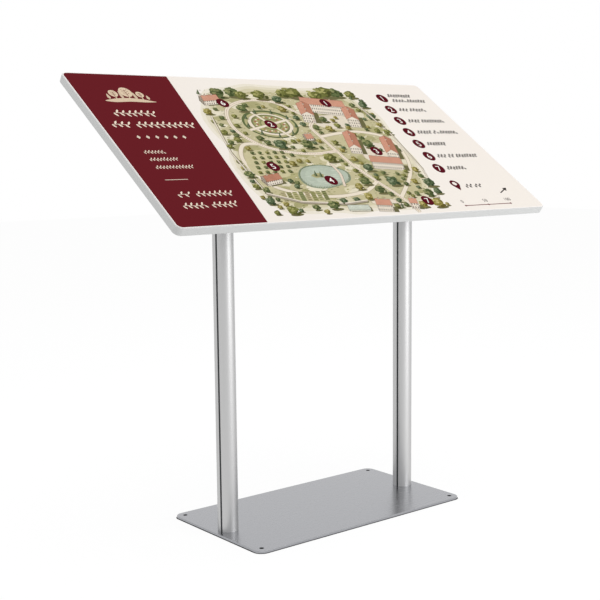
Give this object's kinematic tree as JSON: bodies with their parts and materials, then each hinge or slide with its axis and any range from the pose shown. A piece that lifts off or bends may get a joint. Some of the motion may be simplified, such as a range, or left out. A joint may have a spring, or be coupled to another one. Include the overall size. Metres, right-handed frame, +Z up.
{
  "type": "park interpretation sign",
  "caption": "Free-standing lectern sign: a tilted, round-cornered display panel on two grooved round posts bolted to a thin floor plate.",
  "frame": {"origin": "centre of the floor plate's underside, on the floor", "axes": "+X to the right for a reader who faces the panel, +Y away from the reader towards the panel's high edge, +Z up"},
  "size_m": [1.145, 0.4934, 1.0947],
  "materials": {
    "satin_steel": "fine satin steel sheet under clear lacquer",
    "satin_aluminium": "satin anodised extrusion",
    "cast_aluminium": "sand-cast aluminium, blasted",
    "zinc_steel": "zinc plated",
    "stainless_steel": "plain stainless",
    "black_rubber": "matt black infill",
    "foam_tape": "double-sided foam tape",
    "grey_paint": "fine satin powder coat, light grey",
    "title_film": "satin laminated print, dark red",
    "map_film": "satin laminated print, ivory with an illustrated map"
  },
  "bodies": {
    "root": {"base_plate": "satin_steel", "flange_nut_left_1": "stainless_steel", "flange_nut_left_2": "stainless_steel", "flange_nut_left_3": "stainless_steel", "flange_nut_left_4": "stainless_steel", "flange_nut_right_1": "stainless_steel", "flange_nut_right_2": "stainless_steel", "flange_nut_right_3": "stainless_steel", "flange_nut_right_4": "stainless_steel", "foot_screw_left_1": "zinc_steel", "foot_screw_left_2": "zinc_steel", "foot_screw_left_3": "zinc_steel", "foot_screw_left_4": "zinc_steel", "foot_screw_right_1": "zinc_steel", "foot_screw_right_2": "zinc_steel", "foot_screw_right_3": "zinc_steel", "foot_screw_right_4": "zinc_steel", "groove_strip_left_1": "black_rubber", "groove_strip_left_2": "black_rubber", "groove_strip_right_1": "black_rubber", "groove_strip_right_2": "black_rubber", "head_screw_left_1": "stainless_steel", "head_screw_left_2": "stainless_steel", "head_screw_left_3": "stainless_steel", "head_screw_left_4": "stainless_steel", "head_screw_right_1": "stainless_steel", "head_screw_right_2": "stainless_steel", "head_screw_right_3": "stainless_steel", "head_screw_right_4": "stainless_steel", "lectern_head_left": "cast_aluminium", "lectern_head_right": "cast_aluminium", "lower_rail": "zinc_steel", "lower_rail_tape": "foam_tape", "map_film": "map_film", "panel_tray": "grey_paint", "post_left": "satin_aluminium", "post_right": "satin_aluminium", "rail_bolt_left_1": "zinc_steel", "rail_bolt_left_2": "zinc_steel", "rail_bolt_left_3": "zinc_steel", "rail_bolt_left_4": "zinc_steel", "rail_bolt_right_1": "zinc_steel", "rail_bolt_right_2": "zinc_steel", "rail_bolt_right_3": "zinc_steel", "rail_bolt_right_4": "zinc_steel", "title_film": "title_film", "upper_rail": "zinc_steel", "upper_rail_tape": "foam_tape"}
  },
  "joints": []
}
